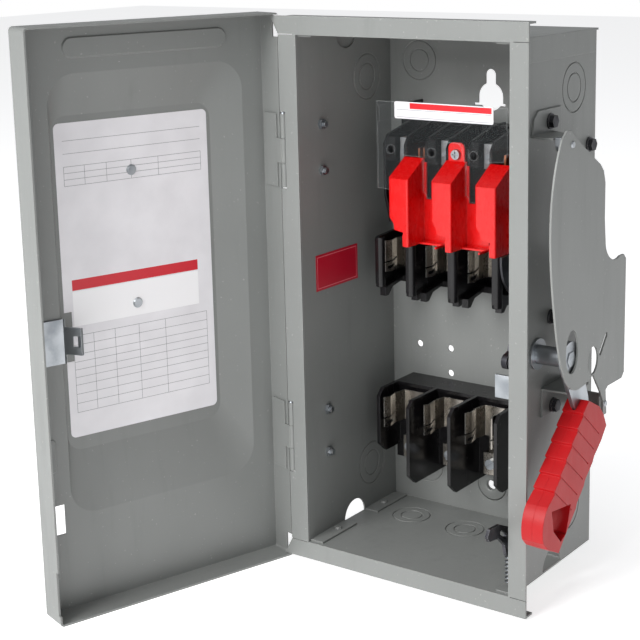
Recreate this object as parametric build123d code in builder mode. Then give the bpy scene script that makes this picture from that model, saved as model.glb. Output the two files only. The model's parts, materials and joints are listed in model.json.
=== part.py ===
from build123d import *
import os

# Wall-mounted fusible disconnect switch, door standing open, handle down (OFF).
# Millimetres, +Z up. The origin is the centre of the wall face, +Y points into the wall.

os.makedirs("parts", exist_ok=True)

# ---- driving dimensions: sheet-metal box ----
WIDTH = 184.0          # outside of one side wall to outside of the other
DEPTH = 127.0          # front flange face to wall face
HEIGHT = 400.0         # under the top plate to the floor plate
SHEET = 1.5
LEFT_FLANGE = 15.0
RIGHT_FLANGE = 13.0
END_FLANGE = 14.0      # height of the front flange on the two end walls
RETURN_LIP = 10.0
LIP_START = -8.0       # the lips stop short of the door's hinges
TOP_LAP = 16.0         # how far the top plate's sides lap over the side walls

# ---- driving dimensions: door, drawn shut, then turned open about its hinge pins ----
DOOR_WIDTH = 204.5
DOOR_DEPTH = 23.6
DOOR_LOW, DOOR_HIGH = -16.0, 416.0
DOOR_GAP = 1.4
DOOR_LEFT = -13.2
HINGE_X, HINGE_Y = -13.2, 2.1
DOOR_OPEN = 108.0
HINGE_CENTRES = (85.0, 312.5)
HINGE_LENGTH = 56.0

# ---- driving dimensions: switch, handle and guard ----
POLES = (41.0, 79.0, 117.0)
BARRIERS = (22.0, 60.0, 98.0, 136.0)
BLADES = (60.0, 98.0, 136.0)   # the moving blades sit to the right of each fuse
BARRIER = 3.0
SHAFT_Y, SHAFT_Z = 38.0, 174.0
SHAFT_R = 7.0
RUN_FIT = 0.05         # radial clearance of a pin or shaft in its bore
ROTOR_Y, ROTOR_Z = 86.0, 262.0
ROTOR_R = 7.0
CRANK_R = 14.0
LEVER_X = 208.5
LEVER = 3.0
GUARD_X = 212.5
GRIP_HALF = 8.5
GRIP_X = LEVER_X + LEVER / 2

X0, Y0, Z0 = -WIDTH / 2, -DEPTH, -HEIGHT / 2   # the box's left front floor corner
DOOR_PIVOT = Vector(X0 + HINGE_X, Y0 + HINGE_Y, 0)


def side(x):
    """Sketch plane across the box at x; its own axes are depth and height."""
    return Plane(origin=(X0 + x, Y0, Z0), x_dir=(0, 1, 0), z_dir=(1, 0, 0))


def front(y):
    """Sketch plane facing forward at depth y; its own axes are width and height."""
    return Plane(origin=(X0, Y0 + y, Z0), x_dir=(1, 0, 0), z_dir=(0, -1, 0))


def level(z):
    """Sketch plane at height z; its own axes are width and depth."""
    return Plane(origin=(X0, Y0, Z0 + z), x_dir=(1, 0, 0), z_dir=(0, 0, 1))


def box_sketch(low, high):
    """A rectangle from its lower left corner to its upper right corner."""
    with Locations(((low[0] + high[0]) / 2, (low[1] + high[1]) / 2)):
        Rectangle(high[0] - low[0], high[1] - low[1])


def save(piece, name):
    piece.label = name
    export_step(piece, f"parts/{name}.step")


def save_on_door(piece, name):
    """Door pieces are drawn with the door shut and stand open by DOOR_OPEN degrees."""
    turned = piece.rotate(Axis(DOOR_PIVOT, (0, 0, 1)), -DOOR_OPEN)
    save(turned, name)


# ================= enclosure =================

SIDE_RINGS = (11.0, 18.5)
END_RINGS = (9.2, 16.0)
KNOCKOUT_GROOVE = 1.1
GROOVE_DEPTH = 0.7
SIDE_KNOCKOUTS = ((92.0, 361.0), (90.0, 39.0))
BACK_KNOCKOUTS = ((29.5, 372.0), (34.0, 33.0))
FLOOR_KNOCKOUTS = ((40.0, 91.0), (92.0, 90.0))
TOP_KNOCKOUTS = ((92.0, 60.0), (146.0, 60.0))
SIDE_TABS = ((3.0, 49.5), (79.5, 123.0))
TAB_WIDTH = 12.0
NOTCH_Y, NOTCH_R = 64.5, 14.5
KEYHOLE_X, KEYHOLE_Z = 95.0, 346.0
SCREW_HOLES = ((27.5, 137.0), (57.3, 137.0), (57.3, 116.0))
LOWER_HOLE = (96.6, 27.0)
LOWER_HOLE_R = 4.0


def ring_grooves(plane, places, radii):
    """Concentric knockout rings cut into a sheet, from the given plane along its normal."""
    for place in places:
        for radius in radii:
            with BuildSketch(plane) as ring:
                with Locations(place):
                    Circle(radius)
                    Circle(radius - KNOCKOUT_GROOVE, mode=Mode.SUBTRACT)
            extrude(ring.sketch, amount=GROOVE_DEPTH, mode=Mode.SUBTRACT)


with BuildPart() as enclosure_body:
    with BuildSketch(level(0)):
        box_sketch((0, DEPTH - SHEET), (WIDTH, DEPTH))
        box_sketch((0, 0), (SHEET, DEPTH))
        box_sketch((WIDTH - SHEET, 0), (WIDTH, DEPTH))
        box_sketch((-LEFT_FLANGE, 0), (SHEET, SHEET))
        box_sketch((WIDTH - SHEET, 0), (WIDTH + RIGHT_FLANGE, SHEET))
    extrude(amount=HEIGHT)
    for low in (0, HEIGHT - SHEET):
        with BuildSketch(level(low)):
            for y_low, y_high in SIDE_TABS:
                box_sketch((SHEET / 2, y_low), (SHEET + TAB_WIDTH, y_high))
                box_sketch((WIDTH - SHEET - TAB_WIDTH, y_low), (WIDTH - SHEET / 2, y_high))
        extrude(amount=SHEET)
    for x in (0, WIDTH - SHEET):
        with BuildSketch(side(x)):
            with Locations((NOTCH_Y, 0), (NOTCH_Y, HEIGHT)):
                Circle(NOTCH_R)
        extrude(amount=SHEET, mode=Mode.SUBTRACT)
    # knockout rings pressed into the inner face of both side walls and the outside of the right one
    for x in (SHEET - GROOVE_DEPTH, WIDTH - SHEET, WIDTH - GROOVE_DEPTH):
        ring_grooves(side(x), SIDE_KNOCKOUTS, SIDE_RINGS)
    ring_grooves(front(DEPTH - SHEET + GROOVE_DEPTH), BACK_KNOCKOUTS, END_RINGS)
    # keyhole: a wide bell that the screw head enters, a neck that it hangs on
    with BuildSketch(front(DEPTH)):
        with Locations((KEYHOLE_X, KEYHOLE_Z)):
            Circle(11)
        box_sketch((KEYHOLE_X - 11, KEYHOLE_Z - 7), (KEYHOLE_X + 11, KEYHOLE_Z))
        box_sketch((KEYHOLE_X - 15, KEYHOLE_Z - 7), (KEYHOLE_X + 13, KEYHOLE_Z - 5.2))
        box_sketch((KEYHOLE_X - 4.5, KEYHOLE_Z), (KEYHOLE_X + 4.5, KEYHOLE_Z + 17))
        with Locations((KEYHOLE_X, KEYHOLE_Z + 17)):
            Circle(4.5)
    extrude(amount=SHEET, mode=Mode.SUBTRACT)
    with BuildSketch(front(DEPTH)):
        with Locations(LOWER_HOLE):
            Circle(LOWER_HOLE_R)
        with Locations(*SCREW_HOLES):
            Circle(2.8)
    extrude(amount=SHEET, mode=Mode.SUBTRACT)
    # the left flange is notched where the hinge barrels pass
    with BuildSketch(front(SHEET)):
        for centre in HINGE_CENTRES:
            box_sketch((-LEFT_FLANGE, centre - HINGE_LENGTH / 2 - 0.8), (-10.2, centre + HINGE_LENGTH / 2 + 1.8))
    extrude(amount=SHEET, mode=Mode.SUBTRACT)
    # operating shaft's hole in the right wall
    with BuildSketch(side(WIDTH - SHEET)):
        with Locations((SHAFT_Y, SHAFT_Z)):
            Circle(10.5)
    extrude(amount=SHEET, mode=Mode.SUBTRACT)


def body_panel(low, high, name):
    """Saves what of the folded body lies between two corners, as (x, y) each, over its whole height."""
    with BuildPart() as panel:
        add(enclosure_body.part)
        with BuildSketch(front(high[1])):
            box_sketch((low[0], -END_FLANGE), (high[0], HEIGHT + END_FLANGE))
        extrude(amount=high[1] - low[1], mode=Mode.INTERSECT)
    save(panel.part, name)


# the folded body in five flat panels, parted at its bends
BACK_Y = DEPTH - SHEET
body_panel((-LEFT_FLANGE, BACK_Y), (WIDTH + RIGHT_FLANGE, DEPTH), "back_wall")
body_panel((-LEFT_FLANGE, SHEET), (WIDTH / 2, BACK_Y), "left_wall")
body_panel((WIDTH / 2, SHEET), (WIDTH + RIGHT_FLANGE, BACK_Y), "right_wall")
body_panel((-LEFT_FLANGE, 0), (WIDTH / 2, SHEET), "left_flange")
body_panel((WIDTH / 2, 0), (WIDTH + RIGHT_FLANGE, SHEET), "right_flange")


def end_flange(base, tip):
    """Front flange outline of an end wall; its left end is a slanted ear."""
    Polygon((-LEFT_FLANGE, base), (-LEFT_FLANGE - 7, tip), (WIDTH + RIGHT_FLANGE, tip),
            (WIDTH + RIGHT_FLANGE, base), align=None)


with BuildPart() as top_end_wall:
    with BuildSketch(level(HEIGHT)):
        box_sketch((-SHEET, 0), (WIDTH + SHEET, DEPTH))
    extrude(amount=SHEET)
    for x in (-SHEET, WIDTH):
        with BuildSketch(side(x)):
            box_sketch((SHEET + 1, HEIGHT - TOP_LAP), (DEPTH - 4, HEIGHT + SHEET))
        extrude(amount=SHEET)
    with BuildSketch(front(SHEET)):
        end_flange(HEIGHT + 0.6, HEIGHT + END_FLANGE)
    extrude(amount=SHEET)
    with BuildSketch(level(HEIGHT + END_FLANGE - SHEET)):
        box_sketch((LIP_START, 0), (WIDTH + RIGHT_FLANGE, RETURN_LIP))
    extrude(amount=SHEET)
    ring_grooves(level(HEIGHT + SHEET - GROOVE_DEPTH), TOP_KNOCKOUTS, END_RINGS)
save(top_end_wall.part, "top_end_wall")

with BuildPart() as bottom_end_wall:
    with BuildSketch(level(-SHEET)):
        box_sketch((0, 0), (WIDTH, DEPTH))
    extrude(amount=SHEET)
    with BuildSketch(front(SHEET)):
        end_flange(-0.6, -END_FLANGE)
    extrude(amount=SHEET)
    with BuildSketch(level(-END_FLANGE)):
        box_sketch((LIP_START, 0), (WIDTH + RIGHT_FLANGE, RETURN_LIP))
    extrude(amount=SHEET)
    ring_grooves(level(-GROOVE_DEPTH), FLOOR_KNOCKOUTS, END_RINGS)
save(bottom_end_wall.part, "bottom_end_wall")

RIVET_X = 7.0
RIVET_PLACES = [(x, y) for x in (RIVET_X, WIDTH - RIVET_X) for y in (33.0, 99.0)]
with BuildPart() as wall_rivets:
    for z, up in ((SHEET, 1), (HEIGHT - SHEET, -1)):
        with BuildSketch(level(z)):
            with Locations(*RIVET_PLACES):
                Circle(3.2)
        extrude(amount=1.4 * up, taper=25)
save(wall_rivets.part, "wall_rivets")

# ---- hinges: a fixed leaf on the outside of the left wall, a moving leaf on the door's edge ----
KNUCKLE_R = 2.6
HINGE_PIN_R = 1.4
KNUCKLE_GAP = 0.3
SCREW_Y = 29.5
SCREW_SPREAD = 17.8    # half the distance between a hinge's two screws


def knuckle_spans(centre):
    """Low and high ends of the three knuckles: fixed, moving, fixed."""
    low = centre - HINGE_LENGTH / 2
    third = HINGE_LENGTH / 3
    return ((low, low + third - KNUCKLE_GAP), (low + third, low + 2 * third),
            (low + 2 * third + KNUCKLE_GAP, low + HINGE_LENGTH))


def knuckle(span):
    """One rolled barrel of a hinge, bored for the pin."""
    with BuildSketch(level(span[0])) as ring:
        with Locations((HINGE_X, HINGE_Y)):
            Circle(KNUCKLE_R)
            Circle(HINGE_PIN_R + RUN_FIT, mode=Mode.SUBTRACT)
    extrude(ring.sketch, amount=span[1] - span[0])


with BuildPart() as hinge_fixed_leaves:
    for centre in HINGE_CENTRES:
        spans = knuckle_spans(centre)
        for span in (spans[0], spans[2]):
            knuckle(span)
            with BuildSketch(level(span[0])):
                box_sketch((HINGE_X, HINGE_Y + 1.5), (-SHEET / 2, HINGE_Y + KNUCKLE_R))
            extrude(amount=span[1] - span[0])
        with BuildSketch(side(-SHEET)):
            box_sketch((HINGE_Y + 1.5, centre - HINGE_LENGTH / 2), (45, centre + HINGE_LENGTH / 2))
        extrude(amount=SHEET)
        with BuildSketch(side(-SHEET)):
            with Locations((SCREW_Y, centre - SCREW_SPREAD), (SCREW_Y, centre + SCREW_SPREAD)):
                Circle(2.6)
        extrude(amount=SHEET, mode=Mode.SUBTRACT)
save(hinge_fixed_leaves.part, "hinge_fixed_leaves")

with BuildPart() as hinge_screws:
    for centre in HINGE_CENTRES:
        for z in (centre - SCREW_SPREAD, centre + SCREW_SPREAD):
            with BuildSketch(side(-SHEET)):
                with Locations((SCREW_Y, z)):
                    Circle(2.55)
            extrude(amount=SHEET)
            with BuildSketch(side(-SHEET)):
                with Locations((SCREW_Y, z)):
                    Circle(4.4)
            extrude(amount=-2.2, taper=18)
            # threaded tail and nut inside the wall
            with BuildSketch(side(SHEET)):
                with Locations((SCREW_Y, z)):
                    RegularPolygon(radius=4.2, side_count=6)
            extrude(amount=2.6)
            with BuildSketch(side(SHEET)):
                with Locations((SCREW_Y, z)):
                    Circle(2.3)
            extrude(amount=5.2)
save(hinge_screws.part, "hinge_screws")

with BuildPart() as hinge_pins:
    for centre in HINGE_CENTRES:
        with BuildSketch(level(centre - HINGE_LENGTH / 2)):
            with Locations((HINGE_X, HINGE_Y)):
                Circle(HINGE_PIN_R)
        extrude(amount=HINGE_LENGTH)
        with BuildSketch(level(centre + HINGE_LENGTH / 2 + 0.05)):
            with Locations((HINGE_X, HINGE_Y)):
                Circle(2.3)
        extrude(amount=1.2, taper=20)
        with BuildSketch(level(centre + HINGE_LENGTH / 2)):
            with Locations((HINGE_X, HINGE_Y)):
                Circle(HINGE_PIN_R)
        extrude(amount=0.2)
save(hinge_pins.part, "hinge_pins")

# ================= door =================

DOOR_BACK = -DOOR_GAP                  # rim of the shut door
DOOR_FACE = DOOR_BACK - DOOR_DEPTH     # outer face of the shut door
DOOR_RIGHT = DOOR_LEFT + DOOR_WIDTH
PANEL_DRAW = 6.0
HINGE_LEAF = 1.4
SLOT_LOW, SLOT_HIGH = 44.5, 67.5


def along_door(distance):
    """Width coordinate of a point measured from the door's hinged edge."""
    return DOOR_LEFT + distance


def panel_outline(low, high, radius):
    with Locations(((low[0] + high[0]) / 2, (low[1] + high[1]) / 2)):
        RectangleRounded(high[0] - low[0], high[1] - low[1], radius)


PANEL_OUTER = ((along_door(20), 56), (along_door(180), 381))
PANEL_INNER = ((along_door(46), 104), (along_door(177), 351))

with BuildPart() as door:
    with BuildSketch(front(DOOR_BACK)):
        box_sketch((DOOR_LEFT, DOOR_LOW), (DOOR_RIGHT, DOOR_HIGH))
    extrude(amount=DOOR_DEPTH)
    vertical_edges = door.edges().filter_by(Axis.Y)
    fillet(vertical_edges, 3.0)
    with BuildSketch(front(DOOR_BACK)):
        with Locations(((DOOR_LEFT + DOOR_RIGHT) / 2, (DOOR_LOW + DOOR_HIGH) / 2)):
            RectangleRounded(DOOR_WIDTH - 2 * SHEET, DOOR_HIGH - DOOR_LOW - 2 * SHEET, 1.6)
    extrude(amount=DOOR_DEPTH - SHEET, mode=Mode.SUBTRACT)
    # panel drawn outwards, with a wide slope on three sides and a steep one at the free edge
    with BuildSketch(front(DOOR_FACE)):
        panel_outline(*PANEL_OUTER, 22)
    with BuildSketch(front(DOOR_FACE - PANEL_DRAW)):
        panel_outline(*PANEL_INNER, 12)
    loft()
    with BuildSketch(front(DOOR_FACE + SHEET)):
        panel_outline(*PANEL_OUTER, 22)
    with BuildSketch(front(DOOR_FACE + SHEET - PANEL_DRAW)):
        panel_outline(*PANEL_INNER, 12)
    loft(mode=Mode.SUBTRACT)
    # plain stiffening bead near the top, pressed from outside
    with BuildSketch(front(DOOR_FACE + SHEET)):
        with Locations((along_door(100), 399)):
            SlotOverall(134, 15)
    extrude(amount=-1.6, taper=30)
    # slot for the latch, and the oblong dimple above it
    with BuildSketch(front(DOOR_FACE + SHEET)):
        with Locations((along_door(190), (SLOT_LOW + SLOT_HIGH) / 2)):
            Rectangle(9.5, SLOT_HIGH - SLOT_LOW)
    extrude(amount=SHEET, mode=Mode.SUBTRACT)
    with BuildSketch(front(DOOR_FACE + SHEET)):
        with Locations((along_door(193), 106)):
            SlotOverall(26, 7, rotation=90)
    extrude(amount=-1.0, taper=30)
    # the hinge-side edge is cut back at both ends to swing past the end walls' ears
    with BuildSketch(side(DOOR_LEFT)):
        box_sketch((DOOR_BACK - 7, DOOR_LOW + SHEET), (DOOR_BACK, 2))
        box_sketch((DOOR_BACK - 7, HEIGHT - 2), (DOOR_BACK, DOOR_HIGH - SHEET))
    extrude(amount=2 * SHEET, mode=Mode.SUBTRACT)
    # the free edge's rim is cut lower beside the latch
    with BuildSketch(side(DOOR_RIGHT - SHEET)):
        box_sketch((DOOR_BACK - 2.5, -8), (DOOR_BACK, 26))
    extrude(amount=SHEET, mode=Mode.SUBTRACT)
save_on_door(door.part, "door")

with BuildPart() as hinge_moving_leaves:
    for centre in HINGE_CENTRES:
        span = knuckle_spans(centre)[1]
        knuckle(span)
        # leaf inside the door's hinge-side edge, with an arm back to the middle barrel
        with BuildSketch(side(DOOR_LEFT + SHEET)):
            box_sketch((-20, centre - HINGE_LENGTH / 2), (-4, centre + HINGE_LENGTH / 2))
            box_sketch((-5, span[0]), (HINGE_Y, span[1]))
        extrude(amount=HINGE_LEAF)
save_on_door(hinge_moving_leaves.part, "hinge_moving_leaves")

with BuildPart() as door_catch:
    with BuildSketch(level(174)):
        with BuildLine():
            Polyline((along_door(196), DOOR_FACE + SHEET), (along_door(178), DOOR_FACE + SHEET),
                     (along_door(169), DOOR_FACE + 14), (along_door(171), DOOR_FACE + 15.2),
                     (along_door(179), DOOR_FACE + 3.2), (along_door(196), DOOR_FACE + 3.2), close=True)
        make_face()
    extrude(amount=33)
    # the sloping ear is narrower than the foot and has a slot through it
    with BuildSketch(front(DOOR_FACE + 16)):
        box_sketch((along_door(160), 173), (along_door(178), 181))
        box_sketch((along_door(160), 201), (along_door(178), 208))
        with Locations((along_door(173), 191)):
            Rectangle(3, 8)
    extrude(amount=16 - SHEET - 0.2, mode=Mode.SUBTRACT)
save_on_door(door_catch.part, "door_catch")

LABEL_DEPTH = DOOR_FACE + SHEET - PANEL_DRAW
LABEL_LOW, LABEL_HIGH = (along_door(49), 114), (along_door(174), 346)
with BuildPart() as door_label:
    with BuildSketch(front(LABEL_DEPTH + 0.25)):
        panel_outline(LABEL_LOW, LABEL_HIGH, 4)
        box_sketch((along_door(170), 172), (along_door(180), 209))
    extrude(amount=0.25)
    with BuildSketch(front(LABEL_DEPTH + 0.25)):
        box_sketch((along_door(168), 172), (along_door(182), 209))
    extrude(amount=0.25, mode=Mode.SUBTRACT)
save_on_door(door_label.part, "door_label")

with BuildPart() as label_rivets:
    for z in (307.0, 207.0):
        with BuildSketch(front(LABEL_DEPTH + 0.25)):
            with Locations((along_door(114), z)):
                Circle(4.0)
        extrude(amount=-1.3, taper=35)
save_on_door(label_rivets.part, "label_rivets")

with BuildPart() as side_label:
    with BuildSketch(side(SHEET)):
        box_sketch((18.5, 200.5), (74, 229))
    extrude(amount=0.25)
save(side_label.part, "side_label")

# ================= line side: base, fins, jaws, lugs =================

BASE_BACK = DEPTH - SHEET
BASE_FRONT = 112.0
FIN = 2.0
FINS = (31.5, 50.5, 69.5, 88.5, 107.5, 126.5)
FIN_FRONT = 71.0
CUP_FRONTS = (72.0, 58.0, 58.0, 59.0)
STRAP_LOW, STRAP_HIGH = 303.0, 309.0

with BuildPart() as line_base:
    with BuildSketch(front(BASE_BACK)):
        box_sketch((BARRIERS[0] - BARRIER / 2, 196), (BARRIERS[3] + BARRIER / 2, 326))
    extrude(amount=BASE_BACK - BASE_FRONT)
    # bosses behind the upper fuse clips
    with BuildSketch(front(BASE_FRONT + 1)):
        for x in POLES:
            box_sketch((x - 5, 214), (x + 5, 230))
    extrude(amount=BASE_FRONT + 1 - 104.5)
    # walls between the fuse cups, with rounded front edges
    for x, lip in zip(BARRIERS, CUP_FRONTS):
        with BuildSketch(side(x - BARRIER / 2)):
            Polygon((lip, 199), (lip + 3, 195), (BASE_BACK, 195), (BASE_BACK, 240), (lip + 2, 237),
                    (lip, 235), align=None)
        extrude(amount=BARRIER)
        with BuildSketch(level(196)):
            with Locations((x + 1, lip + 4)):
                Circle(4)
        extrude(amount=40)
    # fins between the line lugs and the blades, bored for the rotor and slotted for the straps
    for x in FINS:
        with BuildSketch(side(x - FIN / 2)):
            Polygon((FIN_FRONT, 272), (FIN_FRONT, 312), (FIN_FRONT + 5, 319), (112, 327),
                    (BASE_BACK, 327), (BASE_BACK, 249), (FIN_FRONT + 7, 249), align=None)
            with Locations((ROTOR_Y, ROTOR_Z)):
                Circle(ROTOR_R + (RUN_FIT if x == FINS[0] else 0.5), mode=Mode.SUBTRACT)
            with Locations((109.3, (STRAP_LOW + STRAP_HIGH) / 2)):
                Rectangle(5.4, STRAP_HIGH - STRAP_LOW + 0.6, mode=Mode.SUBTRACT)
        extrude(amount=FIN)
    # drooping wings beside each fuse and a sloping shelf behind it
    for x in POLES:
        for offset, width in ((-17.5, 5.5), (12, 5.5)):
            with BuildSketch(side(x + offset)):
                Polygon((74, 196), (BASE_FRONT + 1, 203), (BASE_FRONT + 1, 200), (84, 195), (78, 189),
                        (74, 189), align=None)
            extrude(amount=width)
        with BuildSketch(side(x - 17.5)):
            Polygon((99, 201), (BASE_FRONT + 1, 203), (BASE_FRONT + 1, 198), (99, 196), align=None)
        extrude(amount=35)
save(line_base.part, "line_base")


CLIP_HEIGHT = 25.0
UPPER_CLIP_LOW, UPPER_MOUTH = 209.0, 73.5
LOWER_CLIP_LOW, LOWER_MOUTH = 81.0, 68.5


def clip_row(low, mouth):
    """Three spring clips: bowed jaws with flared lips on a flat back, slotted near the foot."""
    with BuildSketch(level(low)) as jaws:
        for x in POLES:
            with BuildLine():
                Polyline((x - 12, mouth), (x - 9.4, mouth + 5), (x - 11.4, mouth + 15),
                         (x - 9.5, mouth + 27), (x + 9.5, mouth + 27), (x + 11.4, mouth + 15),
                         (x + 9.4, mouth + 5), (x + 12, mouth))
            trace(line_width=1.3)
    extrude(jaws.sketch, amount=CLIP_HEIGHT)
    with BuildSketch(side(POLES[0] - 20)) as slots:
        with Locations((mouth + 7, low + 8.5)):
            Rectangle(16, 1.4, rotation=8)
        with Locations((mouth + 6, low + 3.8)):
            SlotOverall(9, 3, rotation=10)
    extrude(slots.sketch, amount=WIDTH - 60, mode=Mode.SUBTRACT)


with BuildPart() as upper_fuse_clips:
    clip_row(UPPER_CLIP_LOW, UPPER_MOUTH)
save(upper_fuse_clips.part, "upper_fuse_clips")

with BuildPart() as lower_fuse_clips:
    clip_row(LOWER_CLIP_LOW, LOWER_MOUTH)
save(lower_fuse_clips.part, "lower_fuse_clips")


def spring_row(low, mouth):
    """Flat steel springs that squeeze the jaws, one behind each clip."""
    with BuildSketch(level(low + 6)) as springs:
        for x in POLES:
            box_sketch((x - 13.2, mouth + 12), (x - 12.2, mouth + 29))
            box_sketch((x + 12.2, mouth + 12), (x + 13.2, mouth + 29))
            box_sketch((x - 13.2, mouth + 28), (x + 13.2, mouth + 29))
    extrude(springs.sketch, amount=13)


with BuildPart() as clip_springs:
    spring_row(UPPER_CLIP_LOW, UPPER_MOUTH)
    spring_row(LOWER_CLIP_LOW, LOWER_MOUTH)
save(clip_springs.part, "clip_springs")

CLIP_BACK = UPPER_MOUTH + 29.0
BLADE = 2.4
JAW_GAP = 0.35
JAW = 1.6
LEAF = BLADE / 2 + JAW_GAP


def contact_leaves(low, high, back):
    """Pairs of upright leaves that a blade slides between."""
    with BuildSketch(level(low)) as leaves:
        for x in BLADES:
            box_sketch((x - LEAF - JAW, 80), (x - LEAF, back))
            box_sketch((x + LEAF, 80), (x + LEAF + JAW, back))
    extrude(leaves.sketch, amount=high - low)


with BuildPart() as line_jaws:
    contact_leaves(284, STRAP_HIGH, 108.5)
    with BuildSketch(front(111.0)):
        for x in BLADES:
            box_sketch((x - 25, STRAP_LOW), (x + LEAF + JAW, STRAP_HIGH))
    extrude(amount=2.5)
save(line_jaws.part, "line_jaws")

with BuildPart() as load_contacts:
    contact_leaves(241, 251.5, 104)
    with BuildSketch(front(104.5)):
        for x in BLADES:
            box_sketch((x - 25, 241), (x + LEAF + JAW, 247))
            box_sketch((x - 24, 212), (x - 14, 242))
    extrude(amount=2)
save(load_contacts.part, "load_contacts")

with BuildPart() as line_lugs:
    for x in POLES:
        with BuildSketch(side(x - 6)):
            box_sketch((88, 296), (108.5, 315))
        extrude(amount=12)
    # wire way upwards through each lug, and the threaded hole for its screw
    with BuildSketch(level(296)):
        with Locations(*[(x, 100) for x in POLES]):
            Circle(4.4)
    extrude(amount=20, mode=Mode.SUBTRACT)
    with BuildSketch(front(88)):
        with Locations(*[(x, 304) for x in POLES]):
            Circle(3.55)
    extrude(amount=-8, mode=Mode.SUBTRACT)
save(line_lugs.part, "line_lugs")


def slotted_heads(places, plane_y, radius, height):
    """Cheese heads facing forward, each with a screwdriver slot."""
    with BuildSketch(front(plane_y)) as heads:
        with Locations(*places):
            Circle(radius)
    extrude(heads.sketch, amount=height)
    with BuildSketch(front(plane_y - height + 1.0)) as slots:
        with Locations(*places):
            Rectangle(2 * radius, 1.1, rotation=35)
    extrude(slots.sketch, amount=1.0, mode=Mode.SUBTRACT)


with BuildPart() as line_lug_screws:
    slotted_heads([(x, 304) for x in POLES], 95, 3.5, 11)
save(line_lug_screws.part, "line_lug_screws")

# ================= rotor with moving blades =================

ROTOR_LEFT = 28.0
BLADE_TILT = 10.0
ARM_X = 166.0
BLADE_REACH, BLADE_TAIL = 34.0, 12.5
BLADE_WIDTH = 10.0
with BuildPart() as rotor_bar:
    with BuildSketch(side(ROTOR_LEFT)):
        with Locations((ROTOR_Y, ROTOR_Z)):
            Circle(ROTOR_R)
    extrude(amount=ARM_X - ROTOR_LEFT)
    for x in BLADES:
        with BuildSketch(side(x - BLADE / 2)):
            with Locations((ROTOR_Y, ROTOR_Z)):
                Rectangle(30, BLADE_WIDTH, rotation=BLADE_TILT)
        extrude(amount=BLADE, mode=Mode.SUBTRACT)
save(rotor_bar.part, "rotor_bar")

with BuildPart() as moving_blades:
    for x in BLADES:
        with BuildSketch(side(x - BLADE / 2)):
            with Locations(Location((ROTOR_Y, ROTOR_Z, 0), (0, 0, BLADE_TILT))):
                with Locations(((BLADE_TAIL - BLADE_REACH) / 2, 0)):
                    Rectangle(BLADE_REACH + BLADE_TAIL, BLADE_WIDTH)
        extrude(amount=BLADE)
save(moving_blades.part, "moving_blades")

# parallelogram drive: rotor arm and shaft crank stay parallel, joined by one link
CRANK_ANGLE = 201.4
CRANK = Vector(CRANK_R, 0, 0).rotate(Axis.Z, CRANK_ANGLE)
PIN_R = 2.5


def crank_eye(centre):
    """Where the drive link's pin sits for an arm turning about centre."""
    return (centre[0] + CRANK.X, centre[1] + CRANK.Y)


def drive_arm(centre, x, thickness):
    """Flat arm with a round boss at its centre and a round eye at the crank pin."""
    eye = crank_eye(centre)
    with BuildSketch(side(x)) as arm:
        with Locations(centre):
            Circle(9.5)
        with Locations(eye):
            Circle(5.5)
        with Locations(((centre[0] + eye[0]) / 2, (centre[1] + eye[1]) / 2)):
            Rectangle(CRANK_R, 10, rotation=CRANK_ANGLE)
    extrude(arm.sketch, amount=thickness)


rotor_eye = crank_eye((ROTOR_Y, ROTOR_Z))
shaft_eye = crank_eye((SHAFT_Y, SHAFT_Z))

with BuildPart() as rotor_arm:
    drive_arm((ROTOR_Y, ROTOR_Z), ARM_X, 4)
    with BuildSketch(side(ARM_X + 4)):
        with Locations(rotor_eye):
            Circle(PIN_R)
    extrude(amount=5)
    # short journal that turns in the mechanism plate
    with BuildSketch(side(ARM_X + 4)):
        with Locations((ROTOR_Y, ROTOR_Z)):
            Circle(4)
    extrude(amount=9)
save(rotor_arm.part, "rotor_arm")

LINK_X = ARM_X + 4.5
with BuildPart() as drive_link:
    with BuildSketch(side(LINK_X)):
        with BuildLine():
            Line(shaft_eye, rotor_eye)
        trace(line_width=7)
        with Locations(shaft_eye, rotor_eye):
            Circle(5)
            Circle(PIN_R + RUN_FIT, mode=Mode.SUBTRACT)
    extrude(amount=3)
save(drive_link.part, "drive_link")

with BuildPart() as shaft_crank:
    drive_arm((SHAFT_Y, SHAFT_Z), ARM_X - 1, 4.5)
    with BuildSketch(side(ARM_X + 3.5)):
        with Locations(shaft_eye):
            Circle(PIN_R)
    extrude(amount=5)
    with BuildSketch(side(ARM_X + 3.5)):
        with Locations((SHAFT_Y, SHAFT_Z)):
            Circle(4.5)
    extrude(amount=9)
save(shaft_crank.part, "shaft_crank")

# ---- mechanism plate: zinc-plated, carries the rotor journal and the inner end of the shaft ----
PLATE_X = ARM_X + 9.5
PLATE = 2.5
with BuildPart() as mechanism_plate:
    with BuildSketch(side(PLATE_X)):
        with BuildLine():
            Polyline((BASE_BACK, 124), (BASE_BACK, 290), (80, 290), (72, 262), (50, 196), (29.5, 188),
                     (29.5, 160), (58, 146), (58, 124), close=True)
        make_face()
        with Locations((ROTOR_Y, ROTOR_Z)):
            Circle(4 + RUN_FIT, mode=Mode.SUBTRACT)
        with Locations((SHAFT_Y, SHAFT_Z)):
            Circle(SHAFT_R + RUN_FIT, mode=Mode.SUBTRACT)
    extrude(amount=PLATE)
    with BuildSketch(front(60)):
        box_sketch((138, 128), (PLATE_X + PLATE, 146))
    extrude(amount=2)
    with BuildSketch(front(BASE_BACK)):
        box_sketch((PLATE_X - 12, 124), (PLATE_X + PLATE, 300))
    extrude(amount=2)
save(mechanism_plate.part, "mechanism_plate")

with BuildPart() as mechanism_shield:
    # dark steel plate beside the third pole, its front corner swept back
    with BuildSketch(side(141.5)):
        with BuildLine():
            edge = Spline((86, 200), (68, 210), (60, 224), (59, 236))
            Polyline(edge @ 1, (BASE_BACK, 236), (BASE_BACK, 200), edge @ 0)
        make_face()
    extrude(amount=1.6)
save(mechanism_shield.part, "mechanism_shield")

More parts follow.
